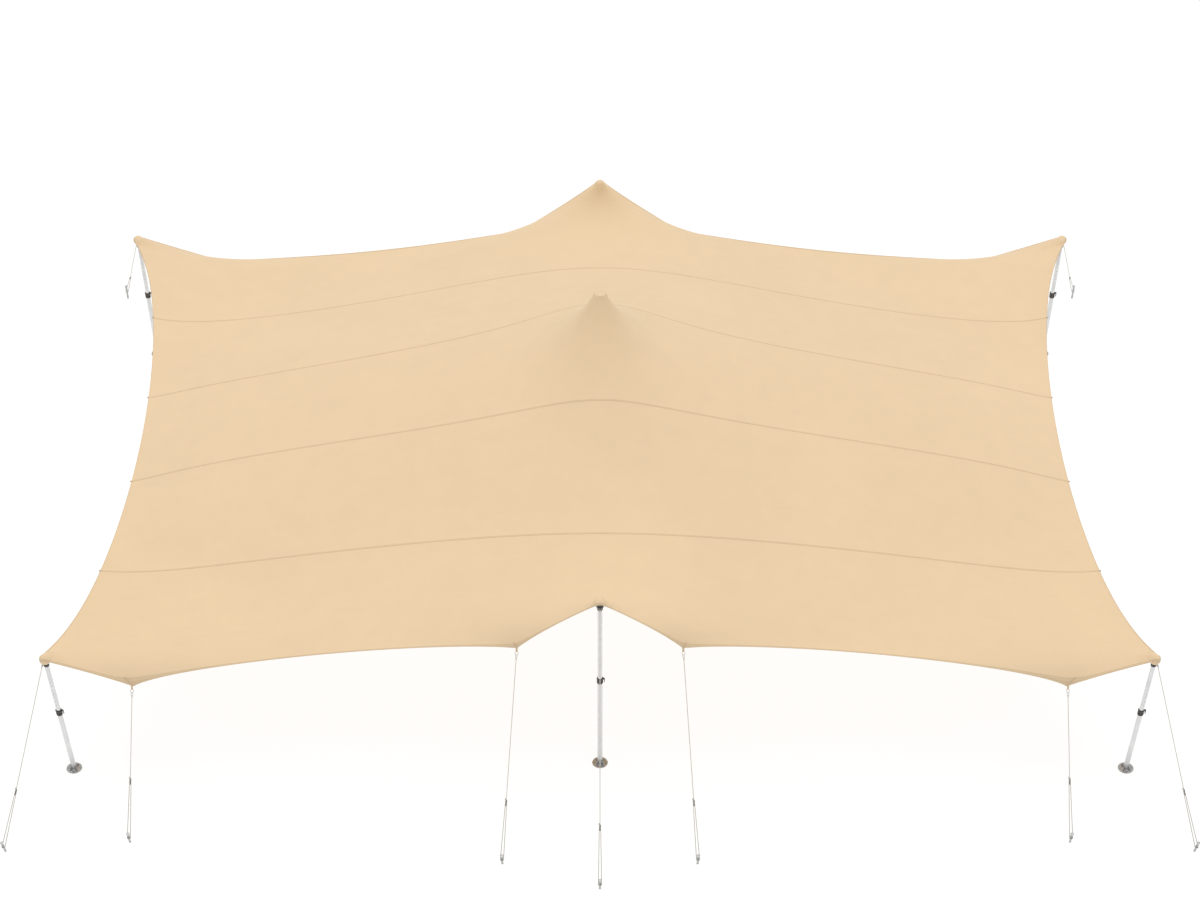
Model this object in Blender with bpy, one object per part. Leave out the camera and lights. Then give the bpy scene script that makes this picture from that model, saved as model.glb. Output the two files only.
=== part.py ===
"""Stretch tent: a 15 x 10 m stretch canopy on seven poles, guyed to fourteen ground stakes.

X runs left to right, Y front to back and Z up. The origin is on the ground under the middle.
"""
from math import cos, hypot, pi, sin, sqrt

import bmesh
import bpy
import numpy as np

# ---- the canopy as it is cut and as it hangs ----
SHEET_WIDTH = 15.0          # left to right
SHEET_DEPTH = 10.0          # front to back
SEAMS = (-3.0, -1.0, 1.0, 3.0)       # where the five 2 m strips are sewn together
CLOTH = 0.008               # thickness that stands for the cloth
JOINT_GAP = 0.0003          # between two pieces that touch

# ---- heights and places of what holds it ----
CORNER_HEIGHT = 2.2         # middle of the corner balls
CORNER_X, CORNER_Y = 7.50, 4.97
CORNER_RADIUS = 0.075       # of the cloth over a corner ball
SIDE_Y = 5.00               # the front and back poles
SIDE_RISE = 1.137          # top of the cloth there, above the corners
SIDE_RADIUS = 0.085
SIDE_INSET = 0.1            # along the cloth from the hem to the top of those poles
MAIN_RISE = 2.517           # top of the cloth over the middle pole, above the corners
MAIN_RADIUS = 0.09
MAIN_EDGE = 0.022           # rounding round the flat top of its head
OUTER_PICK = {-1: (6.36, 5.00), 1: (6.13, 5.00)}   # hem points near the corners, front and back
OUTER_PICK_RISE = -0.45
INNER_PICK = {-1: (1.12, 4.95), 1: (1.28, 4.95)}   # hem points beside the front and back poles
INNER_PICK_RISE = 0.20
OUTER_PICK_CUT = 6.25       # where those points are on the flat sheet
INNER_PICK_CUT = 1.20

# ---- tension in the cloth, as ratios; the shares u and v run from 0 in the middle to 1 at the hems ----
ACROSS_SHARES = (1.0, -1.424, 4.001)      # left to right: even, with v squared, with v to the fourth
ACROSS_RISE = 3.781                       # and more with u squared
ALONG_SHARES = (0.966, -3.190, 3.704)     # front to back: even, with u squared, with u to the fourth
ALONG_EASE = 0.237                        # and less with v squared
PEAK_ACROSS = (0.929, 4.897)              # less left to right round the peak: share, reach in metres
PEAK_ALONG = (0.849, 0.390)               # less front to back close to the peak
MAIN_FOCUS = (5.35, 0.657, 0.183)         # more at the middle head: across, along, reach
SIDE_FOCUS = (3.61, 0.490)                # more both ways round the front and back heads
FULLNESS_SHARES = (0.109, -0.164, -0.365) # upward push: even, with u squared, with v squared
LONG_HEM_PULL = 3.644
CORNER_HEM_SHARE = 3.0                    # of that pull, between a corner and the next hem point
SHORT_HEM_PULL = 12.84
SHORT_HEM_SAG = 0.156

# ---- poles, ropes and stakes ----
TUBE_RADIUS = 0.035
TUBE_WALL = 0.003
FOOT_RADIUS = 0.11
FOOT_THICKNESS = 0.008
SPIGOT_RADIUS = 0.026
SPIGOT_LENGTH = 0.09
POLE_LEAN = 0.08            # metres out for each metre up, on the edge poles
ROPE_RADIUS = 0.006
STAKE_RADIUS = 0.015
STAKE_HEIGHT = 0.22
STAKE_LEAN = 0.25


def material(name, colour, roughness, metallic=0.0):
    """One plain surface for a kind of piece."""
    mat = bpy.data.materials.new(name)
    mat.use_nodes = True
    shader = mat.node_tree.nodes["Principled BSDF"]
    shader.inputs["Base Color"].default_value = (*colour, 1.0)
    shader.inputs["Roughness"].default_value = roughness
    shader.inputs["Metallic"].default_value = metallic
    return mat


def add_object(name, bm, mat, smooth=True):
    """Turn a bmesh into a named object in the tent's collection."""
    bmesh.ops.recalc_face_normals(bm, faces=bm.faces)
    mesh = bpy.data.meshes.new(name)
    bm.to_mesh(mesh)
    bm.free()
    mesh.materials.append(mat)
    if smooth:
        mesh.shade_smooth()
        mesh.set_sharp_from_angle(angle=0.6)
    obj = bpy.data.objects.new(name, mesh)
    tent.objects.link(obj)
    return obj


# ---------------------------------------------------------------- the tensioned net

EDGE_STEPS = (0.0, 0.05, 0.10, 0.15, 0.22, 0.35, 0.60)   # closer threads at the hems
HELD_REACH = 0.115          # how far the cloth lies on a head, from the middle of its top
INNER_REACH = 0.0736        # and on the inner side of the front and back heads
CORNER_BAR = 0.1            # how far the cloth lies straight behind a corner ball
CORNER_WRAP = 1.45          # turn, in radians, by which it wraps down each side of that bar
WAIST_DROP = 1.55           # of its radius, from the top of a crown down to its waist
STAKE_HEAD = 1.6            # driven head, times the bar of a stake
ROPE_CLEARANCE = 1.6        # rope radii between the axis of a rope and its stake


def threads_across():
    """Flat X places of the net's front-to-back threads."""
    half = [0.0, 0.05, 0.1, 0.2, 0.45, 0.8, INNER_PICK_CUT, 1.8, 2.6, 3.5, 4.4, 5.3, OUTER_PICK_CUT, 6.6]
    half += [SHEET_WIDTH / 2 - step for step in EDGE_STEPS[::-1]]
    return np.array([-x for x in half[:0:-1]] + half)


def threads_along():
    """Flat Y places of the net's left-to-right threads, with one on every seam."""
    front = [-SHEET_DEPTH / 2 + step for step in EDGE_STEPS]
    back = [-y for y in front[::-1]]
    near_middle = [-0.2, -0.1, -0.05, 0.0, 0.05, 0.1, 0.2]
    stops = [front, (SEAMS[0], 3), (SEAMS[1], 4), (near_middle[0], 2), near_middle,
             (SEAMS[2], 2), (SEAMS[3], 4), (back[0], 3), back]
    threads = []
    for stop in stops:
        if isinstance(stop, list):
            threads += [y for y in stop if not threads or y > threads[-1] + 1e-6]
        else:
            threads += list(np.linspace(threads[-1], stop[0], stop[1] + 1)[1:])
    return np.array(threads)


def over_ball(x, y, radius):
    """Where a flat point falls when the cloth is laid over a ball whose top is at the origin."""
    reach = hypot(x, y)
    if reach < 1e-9:
        return np.array((0.0, 0.0, radius))
    turn = reach / radius
    return np.array((x / reach * radius * sin(turn), y / reach * radius * sin(turn), radius * cos(turn)))


def over_corner(inward_x, inward_y):
    """Where cloth near a corner falls: round a ball at the tip, then round a short bar."""
    along = (inward_x + inward_y) / sqrt(2)
    aside = (inward_x - inward_y) / sqrt(2)
    quarter_turn = CORNER_RADIUS * pi / 2
    if along <= quarter_turn:
        a, b, rise = over_ball(along - quarter_turn, aside, CORNER_RADIUS)
    else:
        a = along - quarter_turn
        b = CORNER_RADIUS * sin(aside / CORNER_RADIUS)
        rise = CORNER_RADIUS * cos(aside / CORNER_RADIUS)
    return (a + b) / sqrt(2), (a - b) / sqrt(2), rise


def held_place(x, y):
    """The place in space of a flat point that a pole or a rope holds, or None where it is free."""
    side = 1 if x > 0 else -1
    end = 1 if y > 0 else -1
    inward_x = SHEET_WIDTH / 2 - abs(x)
    inward_y = SHEET_DEPTH / 2 - abs(y)
    along = (inward_x + inward_y) / sqrt(2)
    aside = abs(inward_x - inward_y) / sqrt(2)
    if along < CORNER_RADIUS * pi / 2 + CORNER_BAR and aside < CORNER_RADIUS * CORNER_WRAP:
        in_x, in_y, rise = over_corner(inward_x, inward_y)
        return side * (CORNER_X - in_x), end * (CORNER_Y - in_y), CORNER_HEIGHT + rise
    if inward_y < 1e-9 and abs(abs(x) - OUTER_PICK_CUT) < 1e-6:
        pick_x, pick_y = OUTER_PICK[end]
        return side * pick_x, end * pick_y, CORNER_HEIGHT + OUTER_PICK_RISE
    if inward_y < 1e-9 and abs(abs(x) - INNER_PICK_CUT) < 1e-6:
        pick_x, pick_y = INNER_PICK[end]
        return side * pick_x, end * pick_y, CORNER_HEIGHT + INNER_PICK_RISE
    lies_on_head = HELD_REACH if inward_y < SIDE_INSET * 1.1 else INNER_REACH
    if hypot(x, inward_y - SIDE_INSET) < lies_on_head:
        dx, dy, rise = over_ball(x, end * (SIDE_INSET - inward_y), SIDE_RADIUS)
        return dx, end * SIDE_Y + dy, CORNER_HEIGHT + SIDE_RISE - SIDE_RADIUS + rise
    reach = hypot(x, y)
    if reach < HELD_REACH:
        shrink = min(1.0, MAIN_RADIUS / max(reach, 1e-9))
        drop = max(0.0, reach - MAIN_RADIUS + MAIN_EDGE / 2)
        return x * shrink, y * shrink, CORNER_HEIGHT + MAIN_RISE - drop
    return None


def focus(x, y, main_share):
    """How much more the cloth pulls close to the middle head and to the front and back ones."""
    middle = main_share * np.exp(-np.hypot(x, y) / MAIN_FOCUS[2])
    side = SIDE_FOCUS[0] * np.exp(-np.hypot(x, abs(y) - SHEET_DEPTH / 2 + SIDE_INSET) / SIDE_FOCUS[1])
    return 1 + middle + side


def tension_across(x, y):
    """Pull of the cloth from left to right."""
    u, v = 2 * x / SHEET_WIDTH, 2 * y / SHEET_DEPTH
    even, square, fourth = ACROSS_SHARES
    eased = 1 - PEAK_ACROSS[0] * np.exp(-(x ** 2 + y ** 2) / PEAK_ACROSS[1] ** 2)
    pull = (even + square * v ** 2 + fourth * v ** 4) * (1 + ACROSS_RISE * u ** 2)
    return pull * eased * focus(x, y, MAIN_FOCUS[0])


def tension_along(x, y):
    """Pull of the cloth from front to back."""
    u, v = 2 * x / SHEET_WIDTH, 2 * y / SHEET_DEPTH
    even, square, fourth = ALONG_SHARES
    eased = 1 - PEAK_ALONG[0] * np.exp(-(x ** 2 + y ** 2) / PEAK_ALONG[1] ** 2)
    pull = (even + square * u ** 2 + fourth * u ** 4) * (1 - ALONG_EASE * v ** 2)
    return pull * eased * focus(x, y, MAIN_FOCUS[1])


def fullness(x, y):
    """Upward push, for each square metre, that makes the cloth stand fuller than a bare net."""
    even, by_u, by_v = FULLNESS_SHARES
    return even + by_u * (2 * x / SHEET_WIDTH) ** 2 + by_v * (2 * y / SHEET_DEPTH) ** 2


def relax(across, along):
    """Pull the net taut between its held points; gives one place in space for every knot."""
    columns, rows = len(across), len(along)
    number = np.arange(rows * columns).reshape(rows, columns)
    held = {}
    for row, y in enumerate(along):
        for column, x in enumerate(across):
            place = held_place(x, y)
            if place is not None:
                held[number[row, column]] = place
    step_x, step_y = np.diff(across), np.diff(along)
    share_x = (np.append(step_x, 0) + np.append(0, step_x)) / 2
    share_y = (np.append(step_y, 0) + np.append(0, step_y)) / 2
    x, y = across[None, :], along[:, None]
    middle_x = (x[:, 1:] + x[:, :-1]) / 2
    pull_x = tension_across(middle_x, y) * share_y[:, None] / step_x
    hem_share = np.where(abs(middle_x[0]) > OUTER_PICK_CUT, CORNER_HEM_SHARE, 1.0)
    pull_x[[0, -1], :] += LONG_HEM_PULL * hem_share / step_x
    pull_y = tension_along(x, (y[1:] + y[:-1]) / 2) * share_x / step_y[:, None]
    pull_y[:, [0, -1]] += SHORT_HEM_PULL / step_y[:, None]
    balance = np.zeros((rows * columns, rows * columns))
    threads = ((number[:, :-1], number[:, 1:], pull_x), (number[:-1], number[1:], pull_y))
    for one_end, other_end, pull in threads:
        one_end, other_end, pull = one_end.ravel(), other_end.ravel(), pull.ravel()
        balance[one_end, other_end] -= pull
        balance[other_end, one_end] -= pull
    np.fill_diagonal(balance, -balance.sum(axis=1))
    push = fullness(x, y) * share_y[:, None] * share_x
    push[:, [0, -1]] -= SHORT_HEM_SAG * share_y[:, None]
    fixed = np.array(list(held))
    free = np.setdiff1d(number.ravel(), fixed)
    places = np.zeros((rows * columns, 3))
    places[fixed] = list(held.values())
    force = -balance[np.ix_(free, fixed)] @ places[fixed]
    force[:, 2] += push.ravel()[free]
    places[free] = np.linalg.solve(balance[np.ix_(free, free)], force)
    return places.reshape(rows, columns, 3)


def upward_normals(net):
    """A unit normal at every knot, pointing to the outside of the tent."""
    across = np.gradient(net, axis=1)
    along = np.gradient(net, axis=0)
    normals = np.cross(across, along)
    return normals / np.linalg.norm(normals, axis=2, keepdims=True)


# ---------------------------------------------------------------- the canopy's strips

def strip(name, net, normals, first, last, mat):
    """One sewn strip of the canopy, from thread row first to thread row last, as a thin shell."""
    rows, columns = last - first, net.shape[1] - 1
    bm = bmesh.new()
    bmesh.ops.create_grid(bm, x_segments=columns, y_segments=rows, size=0.5)
    bmesh.ops.translate(bm, verts=bm.verts, vec=(0.5, 0.5, 0.0))
    bmesh.ops.scale(bm, verts=bm.verts, vec=(columns, rows, 1.0))
    under = bmesh.ops.extrude_face_region(bm, geom=bm.faces[:], use_keep_orig=True)["geom"]
    for vert in under:
        if isinstance(vert, bmesh.types.BMVert):
            vert.co.z = -1.0
    for vert in bm.verts:
        row, column = first + round(vert.co.y), round(vert.co.x)
        place = net[row, column] + normals[row, column] * CLOTH * vert.co.z
        if row == first and first > 0:
            place = place + half_gap(net, row, column, 1)
        if row == last and last < net.shape[0] - 1:
            place = place + half_gap(net, row, column, -1)
        vert.co = place
    return add_object(name, bm, mat)


def half_gap(net, row, column, way):
    """A step of half the joint gap away from a seam, along the net's front-to-back thread."""
    thread = net[row + 1, column] - net[row - 1, column]
    return way * thread / np.linalg.norm(thread) * JOINT_GAP * 0.6


def canopy(mat):
    """All the strips, front to back."""
    across, along = threads_across(), threads_along()
    net = relax(across, along)
    normals = upward_normals(net)
    cuts = [0] + [int(np.argmin(abs(along - seam))) for seam in SEAMS] + [len(along) - 1]
    normals[cuts[1:-1]] = (0.0, 0.0, 1.0)       # upright cut faces, so that neighbours stay parallel
    for count, (first, last) in enumerate(zip(cuts[:-1], cuts[1:])):
        strip(f"canopy_strip_{count + 1}", net, normals, first, last, mat)


# ---------------------------------------------------------------- poles

def lean(bm, foot, head):
    """Stand an upright piece at its foot and slant it so that it points at its head."""
    rise = head[2]
    for vert in bm.verts:
        share = vert.co.z / rise
        vert.co.x += foot[0] + (head[0] - foot[0]) * share
        vert.co.y += foot[1] + (head[1] - foot[1]) * share


def turned(profile, sides=24):
    """Spin a profile of (radius, height) points, from the bottom axis point to the top one."""
    bm = bmesh.new()
    verts = [bm.verts.new((radius, 0.0, height)) for radius, height in profile]
    edges = [bm.edges.new(pair) for pair in zip(verts[:-1], verts[1:])]
    bmesh.ops.spin(bm, geom=verts + edges, angle=2 * pi, steps=sides, use_merge=True,
                   axis=(0, 0, 1), cent=(0, 0, 0))
    bmesh.ops.remove_doubles(bm, verts=bm.verts, dist=0.00005)
    return bm


def pole_foot(name, foot, head, mat):
    """Round steel plate with a spigot that stands up inside the tube."""
    top = FOOT_THICKNESS + SPIGOT_LENGTH
    bm = turned([(0, 0), (FOOT_RADIUS, 0), (FOOT_RADIUS, FOOT_THICKNESS * 0.7),
                 (FOOT_RADIUS - 0.003, FOOT_THICKNESS), (SPIGOT_RADIUS, FOOT_THICKNESS),
                 (SPIGOT_RADIUS, top - 0.004), (SPIGOT_RADIUS - 0.004, top), (0, top)])
    lean(bm, foot, head)
    return add_object(name, bm, mat)


def pole_tube(name, foot, head, bottom, top, mat):
    """Open aluminium tube between its foot plate and its head."""
    inner = TUBE_RADIUS - TUBE_WALL
    bm = turned([(inner, bottom), (TUBE_RADIUS, bottom), (TUBE_RADIUS, top), (inner, top), (inner, bottom)])
    lean(bm, foot, head)
    return add_object(name, bm, mat)


def pole_head(name, foot, head, radius, flat, mat):
    """Moulded head: a spigot in the tube, a collar on its end and a round or flat-topped crown."""
    top = head[2]
    crown = [(radius * sin(turn) + flat, top - radius + radius * cos(turn))
             for turn in (pi * share / 12 for share in range(7, 0, -1))]
    waist = top - radius * WAIST_DROP
    profile = [(0, waist - 0.02 - SPIGOT_LENGTH), (SPIGOT_RADIUS, waist - 0.02 - SPIGOT_LENGTH),
               (SPIGOT_RADIUS, waist - 0.02),
               (TUBE_RADIUS + 0.004, waist - 0.02), (TUBE_RADIUS + 0.004, waist)]
    if flat > 0:
        crown.append((flat, top))
    bm = turned(profile + crown + [(0, top)])
    lean(bm, foot, head)
    add_object(name, bm, mat)
    return waist - 0.02


def pole(place, foot, head, radius, flat, mats):
    """Foot plate, tube and head of one pole, one above the other."""
    pole_foot(f"pole_foot_{place}", foot, head, mats["steel"])
    shoulder = pole_head(f"pole_head_{place}", foot, head, radius, flat, mats["moulded"])
    pole_tube(f"pole_{place}", foot, head, FOOT_THICKNESS + JOINT_GAP, shoulder - JOINT_GAP, mats["tube"])
    return shoulder


# ---------------------------------------------------------------- ropes and stakes

def rope(name, start, end, mat):
    """Taut straight rope as a curve with a round section and closed ends."""
    data = bpy.data.curves.new(name, "CURVE")
    data.dimensions = "3D"
    data.bevel_depth = ROPE_RADIUS
    data.bevel_resolution = 2
    data.use_fill_caps = True
    spline = data.splines.new("POLY")
    spline.points.add(1)
    for point, place in zip(spline.points, (start, end)):
        point.co = (*place, 1.0)
    data.materials.append(mat)
    obj = bpy.data.objects.new(name, data)
    tent.objects.link(obj)
    return obj


def stake(name, ground, away, mat):
    """The part of a steel stake above the ground, with a driven head, leaning away from the tent."""
    bm = turned([(0, 0), (STAKE_RADIUS, 0), (STAKE_RADIUS, STAKE_HEIGHT - 0.02),
                 (STAKE_RADIUS * STAKE_HEAD, STAKE_HEIGHT - 0.014),
                 (STAKE_RADIUS * STAKE_HEAD, STAKE_HEIGHT - 0.004),
                 (STAKE_RADIUS, STAKE_HEIGHT), (0, STAKE_HEIGHT)], sides=16)
    top = [place + push * STAKE_LEAN * STAKE_HEIGHT for place, push in zip(ground, away)]
    lean(bm, ground, (*top, STAKE_HEIGHT))
    return add_object(name, bm, mat)


def guy(place, start, ground, mats):
    """A stake, and the rope from the canopy or a pole head down to it."""
    start = np.array(start)
    away = np.array(ground) - start[:2]
    away /= np.linalg.norm(away)
    stake(f"stake_{place}", ground, away, mats["steel"])
    tie_height = STAKE_HEIGHT * 0.5
    beside = STAKE_LEAN * tie_height - STAKE_RADIUS - ROPE_RADIUS * ROPE_CLEARANCE
    at_stake = np.array(ground) + away * beside
    rope(f"rope_{place}", start, (*at_stake, tie_height), mats["rope"])


# ---------------------------------------------------------------- the whole tent

ENDS = {"front": -1, "back": 1}
SIDES = {"left": -1, "right": 1}
CORNER_STAKE = (0.58, 1.45)       # out from the corner, in X and Y
OUTER_PICK_STAKE = (0.05, 1.25)
INNER_PICK_STAKE = (0.20, 1.70)
SIDE_STAKE = 2.1


def head_clearance(radius):
    """Radius of a pole head that the cloth of that radius passes over without touching."""
    return radius - CLOTH - 0.018


def corner_pole(end, side, mats):
    """Corner pole, leaning out, with its rope and stake."""
    way_x, way_y = SIDES[side], ENDS[end]
    place = f"{end}_{side}"
    radius = head_clearance(CORNER_RADIUS)
    top = CORNER_HEIGHT + radius
    head = (way_x * CORNER_X, way_y * CORNER_Y, top)
    foot = [head[axis] - way / sqrt(2) * POLE_LEAN * top for axis, way in ((0, way_x), (1, way_y))]
    shoulder = pole(place, foot, head, radius, 0.0, mats)
    neck = TUBE_RADIUS + 0.004 + ROPE_RADIUS * 2
    start = (head[0] + way_x * neck * 0.55, head[1] + way_y * neck * 0.85, shoulder - 0.01)
    ground = (head[0] + way_x * CORNER_STAKE[0], head[1] + way_y * CORNER_STAKE[1])
    guy(place, start, ground, mats)


def side_pole(end, mats):
    """Pole in the middle of the front or back edge, with its rope and stake."""
    way = ENDS[end]
    radius = head_clearance(SIDE_RADIUS)
    top = CORNER_HEIGHT + SIDE_RISE - SIDE_RADIUS + radius
    head = (0.0, way * SIDE_Y, top)
    foot = (0.0, way * (SIDE_Y - POLE_LEAN * top))
    shoulder = pole(f"{end}_middle", foot, head, radius, 0.0, mats)
    start = (0.0, head[1] + way * (TUBE_RADIUS + ROPE_RADIUS * 2), shoulder - 0.02)
    guy(f"{end}_middle", start, (0.0, head[1] + way * SIDE_STAKE), mats)


def pick_up(end, side, kind, mats):
    """Rope and stake that pull down one point of the front or back hem."""
    way_x, way_y = SIDES[side], ENDS[end]
    pick, rise, stake_step = {"outer": (OUTER_PICK[way_y], OUTER_PICK_RISE, OUTER_PICK_STAKE),
                              "inner": (INNER_PICK[way_y], INNER_PICK_RISE, INNER_PICK_STAKE)}[kind]
    start = (way_x * pick[0], way_y * (pick[1] + 0.012), CORNER_HEIGHT + rise - 0.01)
    ground = (way_x * (pick[0] + stake_step[0]), way_y * (pick[1] + stake_step[1]))
    guy(f"{end}_{side}_{kind}", start, ground, mats)


def main_pole(mats):
    """Tall pole under the peak."""
    top = CORNER_HEIGHT + MAIN_RISE - CLOTH * 2
    flat = MAIN_RADIUS - MAIN_EDGE - 0.028
    pole("middle", (0.0, 0.0), (0.0, 0.0, top), MAIN_EDGE, flat, mats)


for old in list(bpy.data.objects):
    bpy.data.objects.remove(old, do_unlink=True)
tent = bpy.data.collections.new("stretch_tent")
bpy.context.scene.collection.children.link(tent)

surfaces = {
    "cloth": material("canopy_cloth", (0.83, 0.64, 0.42), 0.85),
    "tube": material("pole_tube", (0.72, 0.73, 0.74), 0.35, 1.0),
    "moulded": material("pole_head", (0.10, 0.09, 0.08), 0.55),
    "steel": material("galvanised_steel", (0.55, 0.56, 0.57), 0.45, 1.0),
    "rope": material("guy_rope", (0.80, 0.76, 0.68), 0.8),
}
canopy(surfaces["cloth"])
main_pole(surfaces)
for end_name in ENDS:
    side_pole(end_name, surfaces)
    for side_name in SIDES:
        corner_pole(end_name, side_name, surfaces)
        pick_up(end_name, side_name, "outer", surfaces)
        pick_up(end_name, side_name, "inner", surfaces)
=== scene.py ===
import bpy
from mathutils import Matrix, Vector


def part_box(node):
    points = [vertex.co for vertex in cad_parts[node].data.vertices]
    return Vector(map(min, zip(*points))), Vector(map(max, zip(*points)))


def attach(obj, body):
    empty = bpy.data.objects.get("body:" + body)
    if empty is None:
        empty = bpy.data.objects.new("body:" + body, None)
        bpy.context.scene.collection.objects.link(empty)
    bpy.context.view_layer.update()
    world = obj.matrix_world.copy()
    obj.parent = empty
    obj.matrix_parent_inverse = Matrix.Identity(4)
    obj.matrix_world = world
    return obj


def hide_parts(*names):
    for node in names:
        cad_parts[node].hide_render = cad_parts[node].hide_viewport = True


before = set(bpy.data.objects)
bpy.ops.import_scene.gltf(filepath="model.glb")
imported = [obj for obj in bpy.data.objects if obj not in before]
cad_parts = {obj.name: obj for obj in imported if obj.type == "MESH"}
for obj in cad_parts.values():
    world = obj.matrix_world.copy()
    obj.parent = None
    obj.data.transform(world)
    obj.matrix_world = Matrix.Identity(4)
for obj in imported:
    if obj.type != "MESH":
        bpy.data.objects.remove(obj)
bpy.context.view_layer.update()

from math import atan2, cos, hypot, pi, radians, sin, sqrt

import bmesh
import bpy
import numpy as np
from mathutils import Vector

# ---- The camera ----
# A long lens stands high in front of the tent and looks down at it, far enough back to hold
# the whole canopy with its stakes.
LOOKS_DOWN = radians(38.84)
lens = bpy.data.cameras.new("camera")
lens.lens = 85.0
lens.clip_end = 500.0
camera = bpy.data.objects.new("camera", lens)
camera.location = (0.0, -33.0, 28.4)
camera.rotation_euler = (pi / 2 - LOOKS_DOWN, 0.0, 0.0)
bpy.context.scene.collection.objects.link(camera)
bpy.context.scene.camera = camera


# ---- The cut sheet and its net ----
# The canopy is one stretch-knit sheet, cut to 15 x 10 m and pulled tight over seven pole heads and
# down to eight hem points. Its form is that of a net of threads, relaxed between those held points.
SHEET_WIDTH, SHEET_DEPTH = 15.0, 10.0
SEAMS = (-3.0, -1.0, 1.0, 3.0)
CORNER_HEIGHT = 2.2
CORNER_X, CORNER_Y, CORNER_RADIUS = 7.50, 4.97, 0.075
SIDE_Y, SIDE_RISE, SIDE_RADIUS, SIDE_INSET = 5.00, 1.137, 0.085, 0.1
MAIN_RISE, MAIN_RADIUS, MAIN_EDGE = 2.517, 0.09, 0.022
HELD_REACH, INNER_REACH = 0.115, 0.0736
CORNER_BAR, CORNER_WRAP = 0.1, 1.45
OUTER_PICK = {-1: (6.36, 5.00), 1: (6.13, 5.00)}
INNER_PICK = {-1: (1.12, 4.95), 1: (1.28, 4.95)}
OUTER_PICK_RISE, INNER_PICK_RISE = -0.45, 0.20
OUTER_PICK_CUT, INNER_PICK_CUT = 6.25, 1.20
ACROSS_SHARES, ACROSS_RISE = (1.0, -1.424, 4.001), 3.781
ALONG_SHARES, ALONG_EASE = (0.966, -3.190, 3.704), 0.237
PEAK_ACROSS, PEAK_ALONG = (0.929, 4.897), (0.849, 0.390)
MAIN_FOCUS, SIDE_FOCUS = (5.35, 0.657, 0.183), (3.61, 0.490)
FULLNESS_SHARES = (0.109, -0.164, -0.365)
LONG_HEM_PULL, CORNER_HEM_SHARE, SHORT_HEM_PULL, SHORT_HEM_SAG = 3.644, 3.0, 12.84, 0.156


def threads(half, marks):
    """Flat places of the threads, close together at the middle and the hem, one on every mark."""
    walk = np.linspace(0.0, half, 4001)
    spacing = np.minimum(0.085, 0.016 + 0.1 * np.minimum(walk, half - walk))
    count = np.concatenate([[0.0], np.cumsum((walk[1:] - walk[:-1]) / spacing[1:])])
    places = np.interp(np.linspace(0.0, count[-1], round(count[-1]) + 1), count, walk)
    for mark in marks:
        places[np.argmin(abs(places - mark))] = mark
    return np.concatenate([-places[:0:-1], places])


def over_ball(x, y, radius):
    """Where a flat point falls when the cloth is laid over a ball whose middle is the origin."""
    reach = max(hypot(x, y), 1e-9)
    turn = reach / radius
    return x / reach * radius * sin(turn), y / reach * radius * sin(turn), radius * cos(turn)


def over_corner(inward_x, inward_y):
    """Where the cloth near a corner falls: round a ball at the tip, then round a short bar."""
    along, aside = (inward_x + inward_y) / sqrt(2), (inward_x - inward_y) / sqrt(2)
    quarter_turn = CORNER_RADIUS * pi / 2
    if along <= quarter_turn:
        a, b, rise = over_ball(along - quarter_turn, aside, CORNER_RADIUS)
    else:
        a, b = along - quarter_turn, CORNER_RADIUS * sin(aside / CORNER_RADIUS)
        rise = CORNER_RADIUS * cos(aside / CORNER_RADIUS)
    return (a + b) / sqrt(2), (a - b) / sqrt(2), rise


def held_place(x, y):
    """The place in space of a flat point that a head or a rope holds, or None where it is free."""
    side, end = (1 if x > 0 else -1), (1 if y > 0 else -1)
    inward_x, inward_y = SHEET_WIDTH / 2 - abs(x), SHEET_DEPTH / 2 - abs(y)
    along, aside = (inward_x + inward_y) / sqrt(2), abs(inward_x - inward_y) / sqrt(2)
    if along < CORNER_RADIUS * pi / 2 + CORNER_BAR and aside < CORNER_RADIUS * CORNER_WRAP:
        in_x, in_y, rise = over_corner(inward_x, inward_y)
        return side * (CORNER_X - in_x), end * (CORNER_Y - in_y), CORNER_HEIGHT + rise
    for cut, pick, rise in ((OUTER_PICK_CUT, OUTER_PICK, OUTER_PICK_RISE),
                            (INNER_PICK_CUT, INNER_PICK, INNER_PICK_RISE)):
        if inward_y < 1e-9 and abs(abs(x) - cut) < 1e-6:
            return side * pick[end][0], end * pick[end][1], CORNER_HEIGHT + rise
    lies_on_head = HELD_REACH if inward_y < SIDE_INSET * 1.1 else INNER_REACH
    if hypot(x, inward_y - SIDE_INSET) < lies_on_head:
        dx, dy, rise = over_ball(x, end * (SIDE_INSET - inward_y), SIDE_RADIUS)
        return dx, end * SIDE_Y + dy, CORNER_HEIGHT + SIDE_RISE - SIDE_RADIUS + rise
    reach = hypot(x, y)
    if reach < HELD_REACH:
        shrink = min(1.0, MAIN_RADIUS / max(reach, 1e-9))
        drop = max(0.0, reach - MAIN_RADIUS + MAIN_EDGE / 2)
        return x * shrink, y * shrink, CORNER_HEIGHT + MAIN_RISE - drop
    return None


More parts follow.
